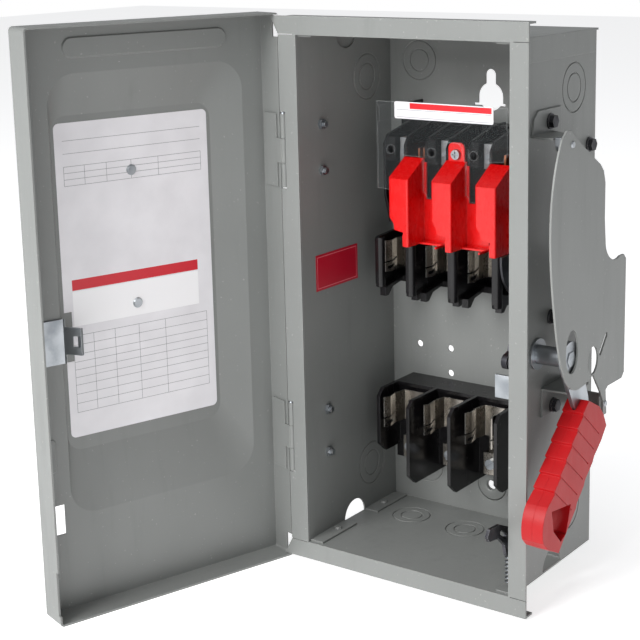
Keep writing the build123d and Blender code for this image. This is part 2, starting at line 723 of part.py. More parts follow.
# ---- operating shaft, bushing and nut ----
SHAFT_LEFT = PLATE_X - 1.4
with BuildPart() as operating_shaft:
    with BuildSketch(side(SHAFT_LEFT)):
        with Locations((SHAFT_Y, SHAFT_Z)):
            Circle(SHAFT_R)
            Circle(4.5, mode=Mode.SUBTRACT)
    extrude(amount=LEVER_X - SHAFT_LEFT)
save(operating_shaft.part, "operating_shaft")

with BuildPart() as shaft_bushing:
    with BuildSketch(side(WIDTH - SHEET - 2)):
        with Locations((SHAFT_Y, SHAFT_Z)):
            Circle(13)
    extrude(amount=2)
    with BuildSketch(side(WIDTH - SHEET)):
        with Locations((SHAFT_Y, SHAFT_Z)):
            Circle(10.5)
    extrude(amount=SHEET)
    with BuildSketch(side(WIDTH)):
        with Locations((SHAFT_Y, SHAFT_Z)):
            Circle(11.5)
    extrude(amount=2)
    with BuildSketch(side(WIDTH - SHEET - 2)):
        with Locations((SHAFT_Y, SHAFT_Z)):
            Circle(SHAFT_R + RUN_FIT)
    extrude(amount=2 * SHEET + 4, mode=Mode.SUBTRACT)
save(shaft_bushing.part, "shaft_bushing")

with BuildPart() as shaft_nut:
    with BuildSketch(side(LEVER_X + LEVER)):
        with Locations((SHAFT_Y, SHAFT_Z)):
            RegularPolygon(radius=6, side_count=6)
    extrude(amount=0.7)
    with BuildSketch(side(LEVER_X - 12)):
        with Locations((SHAFT_Y, SHAFT_Z)):
            Circle(4.45)
    extrude(amount=12 + LEVER)
save(shaft_nut.part, "shaft_nut")

# ================= handle =================

GRIP_FRONT_TOP = (55.0, 141.0)
GRIP_STEPS = 6
STEP_RISE = 1.9

with BuildPart() as handle_lever:
    with BuildSketch(side(LEVER_X)):
        with Locations((SHAFT_Y, SHAFT_Z)):
            Circle(13)
        with BuildLine():
            Polyline((27, 167), (44, 137), (58, 122), (24, 88), (34, 78), (72, 116), (66, 140), (50, 178),
                     close=True)
        make_face()
        with Locations((SHAFT_Y, SHAFT_Z)):
            Circle(4.5, mode=Mode.SUBTRACT)
    extrude(amount=LEVER)
save(handle_lever.part, "handle_lever")


GRIP_TOP = Vector(54, 140)
GRIP_FRONT_LOW = Vector(3, 86)
RIB_STEP = (GRIP_FRONT_LOW - GRIP_TOP) / GRIP_STEPS
RIB_OUT = Vector(RIB_STEP.Y, -RIB_STEP.X).normalized() * STEP_RISE

LEVER_POCKET = ((43.5, 150), (43.5, 136.7), (57.2, 122), (23.2, 88), (34, 77.2), (72.8, 116), (66.8, 150))
GROOVE_TURN = -40.0

def grip_half(low, groove_low, pocket_low):
    """One moulded half: stepped bar with a rounded end, a lever pocket inside, grooves outside."""
    front_ribs = []
    for step in range(GRIP_STEPS):
        start = GRIP_TOP + RIB_STEP * step
        front_ribs.append((start.X, start.Y))
        crest = start + RIB_STEP * 0.92 + RIB_OUT
        front_ribs.append((crest.X, crest.Y))
    with BuildPart() as half:
        with BuildSketch(side(low)):
            with BuildLine():
                nose = Polyline(*front_ribs, (3, 86), (-8, 79))
                bulb = ThreePointArc(nose @ 1, (-14.6, 67), (-14, 54))
                Polyline(bulb @ 1, (-8, 48), (9, 39), (19, 49), (35, 64), (36.5, 67.5), (47, 77),
                         (49, 81), (61, 91), (63.5, 95), (75, 104), (77.5, 107), (83, 113), (78, 123),
                         (71, 131), nose @ 0)
            make_face()
            Polygon((-2, 74), (27, 70), (20, 50), (12, 46.5), (1, 58), align=None, mode=Mode.SUBTRACT)
        extrude(amount=GRIP_HALF)
        with BuildSketch(side(pocket_low)):
            Polygon(*LEVER_POCKET, align=None)
        extrude(amount=LEVER / 2, mode=Mode.SUBTRACT)
        with BuildSketch(side(groove_low)):
            for step in range(1, GRIP_STEPS + 1):
                start = GRIP_TOP + RIB_STEP * step
                with Locations(Location((start.X + 12, start.Y - 10, 0), (0, 0, GROOVE_TURN))):
                    Rectangle(34, 0.9)
        extrude(amount=0.5, mode=Mode.SUBTRACT)
    return half.part


save(grip_half(GRIP_X - GRIP_HALF, GRIP_X - GRIP_HALF, GRIP_X - LEVER / 2), "grip_left")
save(grip_half(GRIP_X, GRIP_X + GRIP_HALF - 0.5, GRIP_X), "grip_right")

# ================= guard, brackets and bolts =================

UPPER_BRACKET_Z = 333.0
LOWER_BRACKET_Z = 146.0
SPACER_R = 5.0
with BuildPart() as guard_plate:
    with BuildSketch(side(GUARD_X)):
        with BuildLine():
            front_edge = Spline((17, 334), (6, 307), (2, 262), (10, 205), (20, 172), (25, 163))
            ThreePointArc(front_edge @ 1, (33, 154), (46, 150))
            Polyline((46, 150), (56, 151), (69, 155), (81, 139), (86, 130), (86, 119), (92, 119), (90, 138), (94, 140),
                     (117, 140), (121, 144), (121, 232), (117, 236), (110, 236))
            back_edge = Spline((110, 236), (100, 235), (90, 241), (86, 250))
            Polyline((86, 250), (84, 268), (84, 295), (81, 304), (76, 309), (45, 328), (30, 339), (24, 339.5),
                     (17, 334))
        make_face()
        # tall oval, round hole and short diagonal slit
        with Locations((35, 180.5)):
            Ellipse(9.5, 16, mode=Mode.SUBTRACT)
        with Locations((68, 166)):
            Ellipse(8.5, 10.5, mode=Mode.SUBTRACT)
        with Locations((85, 174.5)):
            SlotOverall(19, 3.4, rotation=50, mode=Mode.SUBTRACT)
    extrude(amount=SHEET)
save(guard_plate.part, "guard_plate")

with BuildPart() as upper_bracket:
    with BuildSketch(side(WIDTH)):
        with BuildLine():
            Polyline((27, UPPER_BRACKET_Z - 1), (30, UPPER_BRACKET_Z + 12), (36, UPPER_BRACKET_Z + 17),
                     (70, UPPER_BRACKET_Z + 17), (70, UPPER_BRACKET_Z - 1), close=True)
        make_face()
        with Locations((53, UPPER_BRACKET_Z + 8)):
            Circle(3.1, mode=Mode.SUBTRACT)
    extrude(amount=SHEET)
    with BuildSketch(level(UPPER_BRACKET_Z - 1)):
        with BuildLine():
            Polyline((WIDTH, 27), (WIDTH + 19, 24), (WIDTH + 19, 48), (WIDTH, 60), close=True)
        make_face()
    extrude(amount=SHEET)
save(upper_bracket.part, "upper_bracket")

with BuildPart() as lower_bracket:
    with BuildSketch(side(WIDTH)):
        box_sketch((44.5, LOWER_BRACKET_Z - 22), (84, LOWER_BRACKET_Z))
        with Locations((60.5, 129.5)):
            Circle(3.1, mode=Mode.SUBTRACT)
    extrude(amount=SHEET)
    with BuildSketch(level(LOWER_BRACKET_Z - SHEET)):
        with BuildLine():
            Polyline((WIDTH, 44.5), (WIDTH + 23, 46), (WIDTH + 23, 76), (WIDTH, 84), close=True)
        make_face()
    extrude(amount=SHEET)
    # ear at the back that reaches out to the guard's foot
    with BuildSketch(front(92)):
        box_sketch((WIDTH, 121), (GUARD_X, 134))
    extrude(amount=SHEET)
    with BuildSketch(side(WIDTH)):
        box_sketch((84, LOWER_BRACKET_Z - 22), (92, LOWER_BRACKET_Z - 12))
    extrude(amount=SHEET)
    with BuildSketch(side(GUARD_X - SHEET)):
        box_sketch((83, 121), (92, 134))
    extrude(amount=SHEET)
save(lower_bracket.part, "lower_bracket")

with BuildPart() as guard_spacer:
    # rounded standoff between the upper bracket and the guard
    with BuildSketch(side(WIDTH + 19)):
        with Locations((32, UPPER_BRACKET_Z - 4.4)):
            Circle(SPACER_R)
        box_sketch((27, UPPER_BRACKET_Z - 4.4), (37, UPPER_BRACKET_Z + 0.5))
    extrude(amount=GUARD_X - WIDTH - 19)
save(guard_spacer.part, "guard_spacer")

BOLT_PLACES = ((53, UPPER_BRACKET_Z + 8, SHEET), (60.5, 129.5, SHEET), (59, 197, 0), (117, 316, 0))
with BuildPart() as bracket_bolts:
    for y, z, stand in BOLT_PLACES:
        with BuildSketch(side(WIDTH + stand)):
            with Locations((y, z)):
                Circle(5.6)
        extrude(amount=1.2)
        with BuildSketch(side(WIDTH + stand)):
            with Locations((y, z)):
                RegularPolygon(radius=4.8, side_count=6)
        extrude(amount=4.6)
        if stand:
            with BuildSketch(side(WIDTH)):
                with Locations((y, z)):
                    Circle(3.0)
            extrude(amount=stand)
save(bracket_bolts.part, "bracket_bolts")

with BuildPart() as guard_rivets:
    for y, z in ((89, 127.5), (32, UPPER_BRACKET_Z - 4)):
        with BuildSketch(side(GUARD_X + SHEET)):
            with Locations((y, z)):
                Circle(2.6)
        extrude(amount=1.0, taper=30)
save(guard_rivets.part, "guard_rivets")

# ================= arc cover and clear shield =================

HOOD_HALF = 8.8
COVER = 1.5
HOOD_FRONT, WEB_BACK = 46.5, 70.7
HOOD_TOP, HOOD_BACK_TOP, HOOD_FOOT, WEB_TOP = 290.0, 303.5, 238.0, 272.0
TAB = (98.0, 308.5)


def hood(x, shrink):
    """Side outline of a hood: flat front, top sloping back and up."""
    with BuildSketch(side(x - HOOD_HALF + shrink)) as outline:
        Polygon((HOOD_FRONT + shrink, HOOD_FOOT), (HOOD_FRONT + shrink, HOOD_TOP - shrink),
                (WEB_BACK - COVER, HOOD_BACK_TOP - shrink), (WEB_BACK, HOOD_BACK_TOP - shrink),
                (WEB_BACK, HOOD_FOOT), align=None)
    extrude(outline.sketch, amount=2 * (HOOD_HALF - shrink), mode=Mode.SUBTRACT if shrink else Mode.ADD)


def corner_cut(x, foot):
    """What a hood's front loses at its lower left corner, down to foot."""
    left, right = x - HOOD_HALF, x + HOOD_HALF
    Polygon((left - 1, 262), (left, 261), (left + 4.5, 255), (left + 5, 250.5), (right - 4.5, 249),
            (right - 5.5, 246), (right - 5, foot), (left - 1, foot), align=None)


with BuildPart() as arc_cover:
    for x in BLADES:
        hood(x, 0)
    fillet(arc_cover.edges().filter_by(Axis.Z).group_by(Axis.Y)[0], 1.6)
    # upright web behind the hoods, its top edge lower between them
    with BuildSketch(front(WEB_BACK)):
        box_sketch((BLADES[0] - HOOD_HALF, 258), (BLADES[0], 300))
        box_sketch((BLADES[0], HOOD_FOOT), (BLADES[2], WEB_TOP))
        box_sketch((BLADES[2], HOOD_FOOT + 2), (BLADES[2] + HOOD_HALF + 6, 267))
        for x in BLADES:
            box_sketch((x, HOOD_FOOT), (x + HOOD_HALF + 2.2, HOOD_BACK_TOP - 3))
    extrude(amount=COVER)
    # foot of the web, turned forward between the hoods
    with BuildSketch(level(HOOD_FOOT)):
        box_sketch((BLADES[0], 62), (BLADES[2], WEB_BACK))
    extrude(amount=COVER)
    for x in BLADES:
        hood(x, COVER)
    # the lower left corner of each front is cut away beside the fuse clip
    with BuildSketch(front(WEB_BACK + 1)):
        for x in BLADES:
            corner_cut(x, HOOD_FOOT + COVER)
        box_sketch((BLADES[0] - HOOD_HALF - 1, HOOD_FOOT - 1), (BLADES[0] - HOOD_HALF + 2 * COVER, HOOD_FOOT + COVER))
    extrude(amount=WEB_BACK - HOOD_FRONT - 4, mode=Mode.SUBTRACT)
    with BuildSketch(front(HOOD_FRONT + 5)):
        for x in BLADES:
            corner_cut(x, HOOD_FOOT - 1)
    extrude(amount=6, mode=Mode.SUBTRACT)
    # screw tab rising behind the middle hood
    with BuildSketch(front(WEB_BACK)):
        with Locations((TAB[0], TAB[1] - 1)):
            RectangleRounded(14, 20, 4.5)
        with Locations(TAB):
            Circle(2.1, mode=Mode.SUBTRACT)
    extrude(amount=COVER)
save(arc_cover.part, "arc_cover")

with BuildPart() as cover_screw:
    with BuildSketch(front(WEB_BACK - COVER)):
        with Locations(TAB):
            Circle(4.2)
    extrude(amount=2.4, taper=12)
    with BuildSketch(front(WEB_BACK)):
        with Locations(TAB):
            Circle(2.05)
    extrude(amount=COVER)
    with BuildSketch(front(WEB_BACK - COVER - 1.2)):
        with Locations(TAB):
            Rectangle(5, 1)
            Rectangle(1, 5)
    extrude(amount=1.3, mode=Mode.SUBTRACT)
save(cover_screw.part, "cover_screw")

SHIELD_Y = 65.0
SHIELD = 1.5
SHIELD_LEFT, SHIELD_RIGHT, SHIELD_TOP = 28.5, 144.0, 346.0
SHIELD_PIVOT = (110.0, 336.0)
with BuildPart() as line_shield:
    with BuildSketch(front(SHIELD_Y + SHIELD)):
        with BuildLine():
            Polyline((SHIELD_LEFT, 278), (44, 277), (47, 272), (50, 272), (50, 305), (68.8, 305),
                     (70, 303), (70, 279), (73, 276), (74, 273.5), (87, 273.5), (88, 305), (89, 314),
                     (92, 317.5), (102, 317.5), (105, 314), (105.5, 308), (108, 303), (108, 279),
                     (111, 276), (112, 273.5), (125, 273.5), (126, 305), (140.5, 306), (141.2, 309),
                     (SHIELD_RIGHT, 310.5), (SHIELD_RIGHT, SHIELD_TOP), (SHIELD_LEFT, SHIELD_TOP),
                     close=True)
        make_face()
        with Locations((41, 309), (78, 309), (115, 309)):
            Circle(3.4, mode=Mode.SUBTRACT)
    extrude(amount=SHIELD)
    # cheeks run back to the pivot pins
    for x in (SHIELD_LEFT, SHIELD_RIGHT - SHIELD):
        with BuildSketch(side(x)):
            box_sketch((SHIELD_Y, 330), (SHIELD_PIVOT[0] + 5, 342))
            with Locations(SHIELD_PIVOT):
                Circle(2 + RUN_FIT, mode=Mode.SUBTRACT)
        extrude(amount=SHIELD)
save(line_shield.part, "line_shield")

with BuildPart() as shield_label:
    with BuildSketch(front(SHIELD_Y)):
        with Locations((89, 340)):
            RectangleRounded(87, 13, 1.5)
    extrude(amount=0.25)
save(shield_label.part, "shield_label")

with BuildPart() as shield_brackets:
    # two ears on the back wall hold the shield's pivot pins
    for x in (SHIELD_LEFT + SHIELD + 0.5, SHIELD_RIGHT - SHIELD - 2.5):
        with BuildSketch(side(x)):
            box_sketch((SHIELD_PIVOT[0] - 5, SHIELD_PIVOT[1] - 5), (BASE_BACK, SHIELD_PIVOT[1] + 5))
        extrude(amount=2)
    for x in (SHIELD_LEFT - 0.8, SHIELD_RIGHT - SHIELD - 1):
        with BuildSketch(side(x)):
            with Locations(SHIELD_PIVOT):
                Circle(2)
        extrude(amount=3.3)
save(shield_brackets.part, "shield_brackets")

# ================= load side: base, lugs, screws =================

LOAD_FRONT = 100.0
with BuildPart() as load_base:
    with BuildSketch(front(BASE_BACK)):
        box_sketch((BARRIERS[0] - BARRIER / 2, 46), (BARRIERS[3] + BARRIER / 2, 108))
    extrude(amount=BASE_BACK - LOAD_FRONT)
    for index, x in enumerate(BARRIERS):
        lip = (71.0, 56.0, 56.0, 62.0)[index]
        foot = (57.0, 41.0, 41.0, 47.0)[index]
        with BuildSketch(side(x - BARRIER / 2)):
            with BuildLine():
                Polyline((lip, foot + 8), (lip, 105), (lip + 6, 111), (BASE_BACK, 111), (BASE_BACK, foot),
                         (lip + 9, foot), close=True)
            make_face()
        extrude(amount=BARRIER)
    with BuildSketch(level(108)):
        box_sketch((BARRIERS[0], 98), (BARRIERS[3], BASE_BACK))
    extrude(amount=3)
save(load_base.part, "load_base")

LOWER_BACK = LOWER_MOUTH + 29.0
with BuildPart() as load_lugs:
    for x in POLES:
        with BuildSketch(front(LOAD_FRONT)):
            box_sketch((x - 7, 50), (x + 7, 104))
        extrude(amount=LOAD_FRONT - LOWER_BACK)
        with BuildSketch(front(LOWER_BACK)):
            box_sketch((x - 8.5, 50), (x + 8.5, 68))
        extrude(amount=6)
save(load_lugs.part, "load_lugs")

with BuildPart() as load_lug_screws:
    slotted_heads([(x - 1, 60) for x in POLES], LOWER_BACK - 6, 4.2, 4)
save(load_lug_screws.part, "load_lug_screws")

with BuildPart() as ground_marks:
    # three weld bumps above the ground symbol's place on the back wall
    with BuildSketch(front(BASE_BACK)):
        with Locations((22, 174), (27, 174), (32, 174)):
            Circle(1.6)
    extrude(amount=0.8, taper=30)
save(ground_marks.part, "ground_marks")

# ================= latch at the lower right corner =================

LATCH_X = 175.5
LATCH = 2.5
LATCH_PIVOT = (12.0, 34.0)
with BuildPart() as latch_hook:
    with BuildSketch(side(LATCH_X)):
        with BuildLine():
            Polyline((6, 28), (18, 28), (19, 41), (9, 50), (-4, 56), (-18, 57), (-21.5, 52), (-19, 48),
                     (-6, 46), (3, 38), close=True)
        make_face()
        with Locations(LATCH_PIVOT):
            Circle(2.5 + RUN_FIT, mode=Mode.SUBTRACT)
        with Locations((1, 47)):
            SlotOverall(11, 3.2, rotation=-35, mode=Mode.SUBTRACT)
    extrude(amount=LATCH)
save(latch_hook.part, "latch_hook")

with BuildPart() as latch_pivot:
    with BuildSketch(side(LATCH_X - 1.2)):
        with Locations(LATCH_PIVOT):
            Circle(2.5)
    extrude(amount=WIDTH - SHEET - LATCH_X + 1.2)
    with BuildSketch(side(LATCH_X - 2.4)):
        with Locations(LATCH_PIVOT):
            Circle(4)
    extrude(amount=1.2)
    with BuildSketch(side(LATCH_X + LATCH + 0.4)):
        with Locations(LATCH_PIVOT):
            Circle(5)
    extrude(amount=WIDTH - SHEET - LATCH_X - LATCH - 0.4)
save(latch_pivot.part, "latch_pivot")

COIL_TURNS = 7
with BuildPart() as latch_spring:
    with BuildLine(Plane(origin=(X0 + LATCH_X + LATCH / 2, Y0 + 12, Z0 + 4))) as coil:
        Helix(pitch=22 / COIL_TURNS, height=22, radius=3)
    with BuildSketch(Plane(origin=coil.line @ 0, z_dir=coil.line % 0)):
        Circle(0.5)
    sweep(is_frenet=True)
save(latch_spring.part, "latch_spring")
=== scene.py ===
"""Looks for a wall-mounted disconnect box: materials, label faces, fine wire parts, light and camera."""

import json
import math

import bmesh
import bpy
from mathutils import Matrix, Vector


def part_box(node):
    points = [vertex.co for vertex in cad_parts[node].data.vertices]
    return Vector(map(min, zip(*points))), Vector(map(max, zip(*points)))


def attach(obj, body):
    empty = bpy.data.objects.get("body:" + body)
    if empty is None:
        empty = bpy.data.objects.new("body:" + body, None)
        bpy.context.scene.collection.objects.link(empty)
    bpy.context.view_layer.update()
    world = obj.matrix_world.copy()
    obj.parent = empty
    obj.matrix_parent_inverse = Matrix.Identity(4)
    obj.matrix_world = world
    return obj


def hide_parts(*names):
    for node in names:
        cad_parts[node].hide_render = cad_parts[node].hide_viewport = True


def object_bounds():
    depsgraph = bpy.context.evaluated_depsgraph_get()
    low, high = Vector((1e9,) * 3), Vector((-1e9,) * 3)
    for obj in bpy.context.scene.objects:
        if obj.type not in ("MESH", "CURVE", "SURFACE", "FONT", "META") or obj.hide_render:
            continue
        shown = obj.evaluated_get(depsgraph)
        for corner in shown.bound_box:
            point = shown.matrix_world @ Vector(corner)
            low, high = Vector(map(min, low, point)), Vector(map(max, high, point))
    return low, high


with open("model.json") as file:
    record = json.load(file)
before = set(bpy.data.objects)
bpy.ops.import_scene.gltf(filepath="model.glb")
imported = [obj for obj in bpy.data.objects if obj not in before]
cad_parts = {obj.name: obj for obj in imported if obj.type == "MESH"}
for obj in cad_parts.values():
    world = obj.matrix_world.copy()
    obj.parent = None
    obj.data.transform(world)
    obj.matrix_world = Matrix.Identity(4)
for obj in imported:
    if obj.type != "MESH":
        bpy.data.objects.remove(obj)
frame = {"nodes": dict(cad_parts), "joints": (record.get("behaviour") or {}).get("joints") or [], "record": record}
cad_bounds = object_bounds()
nodes = frame["nodes"]

MM = 0.001
UP = Vector((0, 0, 1))
ACROSS = Vector((1, 0, 0))
INWARD = Vector((0, 1, 0))

PAINTED = ("back_wall", "left_wall", "right_wall", "left_flange", "right_flange", "top_end_wall",
           "bottom_end_wall", "wall_rivets", "hinge_fixed_leaves", "hinge_moving_leaves", "ground_marks",
           "door", "guard_plate", "upper_bracket", "lower_bracket")
BLACK_MOULDED = ("line_base", "load_base", "rotor_bar")
ZINC_PLATED = ("hinge_pins", "hinge_screws", "label_rivets", "line_lug_screws", "load_lug_screws",
               "mechanism_plate", "operating_shaft", "shaft_nut", "shaft_bushing", "handle_lever",
               "guard_spacer", "guard_rivets", "cover_screw", "latch_pivot", "door_catch")
DARK_STEEL = ("mechanism_shield", "bracket_bolts", "shield_brackets", "latch_hook", "clip_springs",
              "shaft_crank", "drive_link", "rotor_arm")
NICKEL_PLATED = ("upper_fuse_clips", "lower_fuse_clips", "load_lugs")
COPPER = ("line_jaws", "load_contacts", "moving_blades")

RED_INK = (205, 30, 45)
HEADING_RED = (215, 30, 40)
WHITE_INK = (247, 246, 247)
FILM_WHITE = (233, 231, 234)
SIDE_RED = (190, 20, 45)
SIDE_BORDER = (232, 120, 132)
LINE_INK = (70, 72, 78)
HAIRLINE = 0.32 * MM


# ---------------------------------------------------------------- shader building blocks

def add(tree, kind, inputs=None, **settings):
    """Adds a shader node, sets its properties, and links or sets its inputs."""
    made = tree.nodes.new(kind)
    for key, value in settings.items():
        setattr(made, key, value)
    for key, value in (inputs or {}).items():
        socket = made.inputs[key]
        if isinstance(value, bpy.types.NodeSocket):
            tree.links.new(value, socket)
        else:
            socket.default_value = value
    return made


def colour(red, green, blue):
    """A display colour, 0 to 255 each, as the linear colour that shaders take."""
    def linear(value):
        value = value / 255
        return value / 12.92 if value <= 0.04045 else ((value + 0.055) / 1.055) ** 2.4
    return (linear(red), linear(green), linear(blue), 1.0)


def shade(tone, factor):
    """A linear colour made lighter or darker by a factor."""
    return [channel * factor for channel in tone[:3]] + [1.0]


def place(tree, stretch=(1, 1, 1)):
    """Coordinates in metres that stay with the piece, stretched along each axis."""
    where = add(tree, "ShaderNodeTexCoord").outputs["Object"]
    return add(tree, "ShaderNodeMapping", {"Vector": where, "Scale": stretch}).outputs["Vector"]


def noise(tree, where, scale, detail=3.0, roughness=0.5):
    """Soft noise from 0 to 1, with about `scale` lumps a metre."""
    made = add(tree, "ShaderNodeTexNoise",
               {"Vector": where, "Scale": scale, "Detail": detail, "Roughness": roughness})
    return made.outputs["Fac"]


def ramp(tree, value, low, high, start=0.0, end=1.0):
    """Carries value from low..high to start..end, clamped at both ends."""
    made = add(tree, "ShaderNodeMapRange",
               {"Value": value, "From Min": low, "From Max": high, "To Min": start, "To Max": end})
    return made.outputs["Result"]


def maths(tree, operation, first, second):
    """One arithmetic step on two values."""
    return add(tree, "ShaderNodeMath", {0: first, 1: second}, operation=operation).outputs[0]


def dot(tree, first, second):
    """The dot product of two vectors."""
    made = add(tree, "ShaderNodeVectorMath", {0: first, 1: second}, operation="DOT_PRODUCT")
    return made.outputs["Value"]


def mix(tree, factor, first, second):
    """A colour between two, by factor."""
    made = add(tree, "ShaderNodeMix", data_type="RGBA")
    for index, value in ((0, factor), (6, first), (7, second)):
        if isinstance(value, bpy.types.NodeSocket):
            tree.links.new(value, made.inputs[index])
        else:
            made.inputs[index].default_value = value
    return made.outputs[2]


def rounded(tree, radius):
    """The surface's normal with every sharp edge rounded over by radius."""
    return add(tree, "ShaderNodeBevel", {"Radius": radius}, samples=4).outputs["Normal"]


def edges(tree, radius):
    """1 along sharp edges, 0 on flat faces."""
    soft = rounded(tree, radius)
    true = add(tree, "ShaderNodeNewGeometry").outputs["Normal"]
    return ramp(tree, dot(tree, soft, true), 0.98, 0.8)


def bump(tree, height, distance, strength, normal=None):
    """The normal of a surface raised by height, on top of another normal if one is given."""
    inputs = {"Height": height, "Distance": distance, "Strength": strength}
    if normal is not None:
        inputs["Normal"] = normal
    return add(tree, "ShaderNodeBump", inputs).outputs["Normal"]


def along(tree, direction):
    """How far a point lies along a direction, in metres."""
    return dot(tree, add(tree, "ShaderNodeTexCoord").outputs["Object"], direction)


def between(tree, value, low, high):
    """1 where value lies between two places, in metres, and 0 elsewhere."""
    above = maths(tree, "GREATER_THAN", value, low)
    below = maths(tree, "LESS_THAN", value, high)
    return maths(tree, "MULTIPLY", above, below)


def new_material(name):
    """An empty principled material: the material, its node tree and its shader."""
    material = bpy.data.materials.new(name)
    material.use_nodes = True
    tree = material.node_tree
    return material, tree, tree.nodes["Principled BSDF"]


def give(material, *names):
    """Puts a material on carried-over pieces."""
    for name in names:
        slots = nodes[name].material_slots
        if not slots:
            nodes[name].data.materials.append(material)
        for slot in slots:
            slot.material = material


# ---------------------------------------------------------------- materials

def enamel(name, tone, edge_tone, gloss):
    """Baked enamel on sheet steel: orange peel, faint cloudiness, dust, and sharp edges painted lighter, partly as
    rubbed wear and partly as painted highlight.
    """
    material, tree, shader = new_material(name)
    where = place(tree)
    clouds = noise(tree, where, 9.0, 4.0)
    grain = noise(tree, where, 900.0, 2.0)
    smears = noise(tree, place(tree, (26, 26, 3)), 2.5, 6.0, 0.65)
    dust = ramp(tree, noise(tree, where, 420.0, 2.0), 0.70, 0.78)
    base = mix(tree, ramp(tree, clouds, 0.3, 0.7), tone, shade(tone, 1.10))
    base = mix(tree, ramp(tree, smears, 0.56, 0.74, 0.0, 0.30), base, shade(tone, 0.80))
    base = mix(tree, maths(tree, "MULTIPLY", dust, 0.25), base, colour(214, 212, 206))
    # Sharp edges painted lighter: partly rubbed wear, partly a painted highlight along the edges.
    worn_and_highlit = maths(tree, "MULTIPLY", edges(tree, 0.7 * MM), ramp(tree, clouds, 0.35, 0.65, 0.25, 0.9))
    base = mix(tree, worn_and_highlit, base, edge_tone)
    tree.links.new(base, shader.inputs["Base Color"])
    tree.links.new(ramp(tree, smears, 0.3, 0.8, gloss - 0.04, gloss + 0.10), shader.inputs["Roughness"])
    shader.inputs["Specular IOR Level"].default_value = 0.5
    peel = bump(tree, grain, 0.05 * MM, 0.35, rounded(tree, 0.6 * MM))
    tree.links.new(peel, shader.inputs["Normal"])
    return material


def moulding(name, tone, light_tone, gloss, grain_height=0.03 * MM, coat=0.0):
    """Moulded plastic: fine spark-eroded grain, flow clouds, scuffs, and sharp edges painted paler, partly as wear
    and partly as painted highlight.
    """
    material, tree, shader = new_material(name)
    where = place(tree)
    clouds = noise(tree, where, 40.0, 4.0)
    grain = noise(tree, where, 1700.0, 2.0)
    scratch = noise(tree, place(tree, (160, 160, 60)), 1.0, 6.0, 0.7)
    base = mix(tree, ramp(tree, clouds, 0.3, 0.75, 0.0, 0.35), tone, light_tone)
    base = mix(tree, ramp(tree, scratch, 0.68, 0.76, 0.0, 0.15), base, light_tone)
    # Sharp edges painted paler: partly wear, partly a painted highlight along the edges.
    base = mix(tree, maths(tree, "MULTIPLY", edges(tree, 0.5 * MM), 0.5), base, light_tone)
    tree.links.new(base, shader.inputs["Base Color"])
    tree.links.new(ramp(tree, scratch, 0.35, 0.75, gloss, gloss + 0.1), shader.inputs["Roughness"])
    shader.inputs["Specular IOR Level"].default_value = 0.4
    shader.inputs["Coat Weight"].default_value = coat
    shader.inputs["Coat Roughness"].default_value = 0.12
    eroded = bump(tree, grain, grain_height, 0.5, rounded(tree, 0.7 * MM))
    tree.links.new(eroded, shader.inputs["Normal"])
    return material


def plated(name, tone, dark_tone, gloss, spangle=70.0, stretch=(1, 1, 1)):
    """Plated metal: crystal spangles or rolling lines, stains, and sharp edges painted bright, partly as wear and
    partly as painted highlight.
    """
    material, tree, shader = new_material(name)
    where = place(tree, stretch)
    crystals = add(tree, "ShaderNodeTexVoronoi", {"Vector": where, "Scale": spangle}, feature="SMOOTH_F1")
    patches = add(tree, "ShaderNodeSeparateColor", {"Color": crystals.outputs["Color"]}).outputs[0]
    stains = noise(tree, place(tree), 60.0, 5.0, 0.6)
    fine = noise(tree, where, spangle * 14, 3.0)
    base = mix(tree, ramp(tree, patches, 0.1, 0.9, 0.0, 0.75), tone, dark_tone)
    base = mix(tree, ramp(tree, stains, 0.52, 0.72, 0.0, 0.6), base, dark_tone)
    # Sharp edges painted near-white: partly worn plating, partly a painted highlight along the edges.
    base = mix(tree, maths(tree, "MULTIPLY", edges(tree, 0.35 * MM), 0.5), base, colour(222, 222, 220))
    tree.links.new(base, shader.inputs["Base Color"])
    shader.inputs["Metallic"].default_value = 1.0
    tree.links.new(ramp(tree, maths(tree, "ADD", patches, fine), 0.3, 1.6, gloss, gloss + 0.24),
                   shader.inputs["Roughness"])
    rolled = bump(tree, fine, 0.02 * MM, 0.4, rounded(tree, 0.3 * MM))
    tree.links.new(rolled, shader.inputs["Normal"])
    return material


def clear_sheet(name):
    """Clear plastic sheet whose sawn edges catch the light."""
    material, tree, shader = new_material(name)
    where = place(tree)
    haze = noise(tree, where, 30.0, 4.0)
    edge = edges(tree, 0.45 * MM)
    tree.links.new(mix(tree, edge, colour(150, 156, 158), colour(246, 250, 250)), shader.inputs["Base Color"])
    tree.links.new(ramp(tree, haze, 0.3, 0.8, 0.03, 0.12), shader.inputs["Roughness"])
    shader.inputs["IOR"].default_value = 1.49
    tree.links.new(ramp(tree, edge, 0.0, 1.0, 0.03, 0.55), shader.inputs["Alpha"])
    ripple = bump(tree, haze, 0.2 * MM, 0.2, rounded(tree, 0.5 * MM))
    tree.links.new(ripple, shader.inputs["Normal"])
    return material


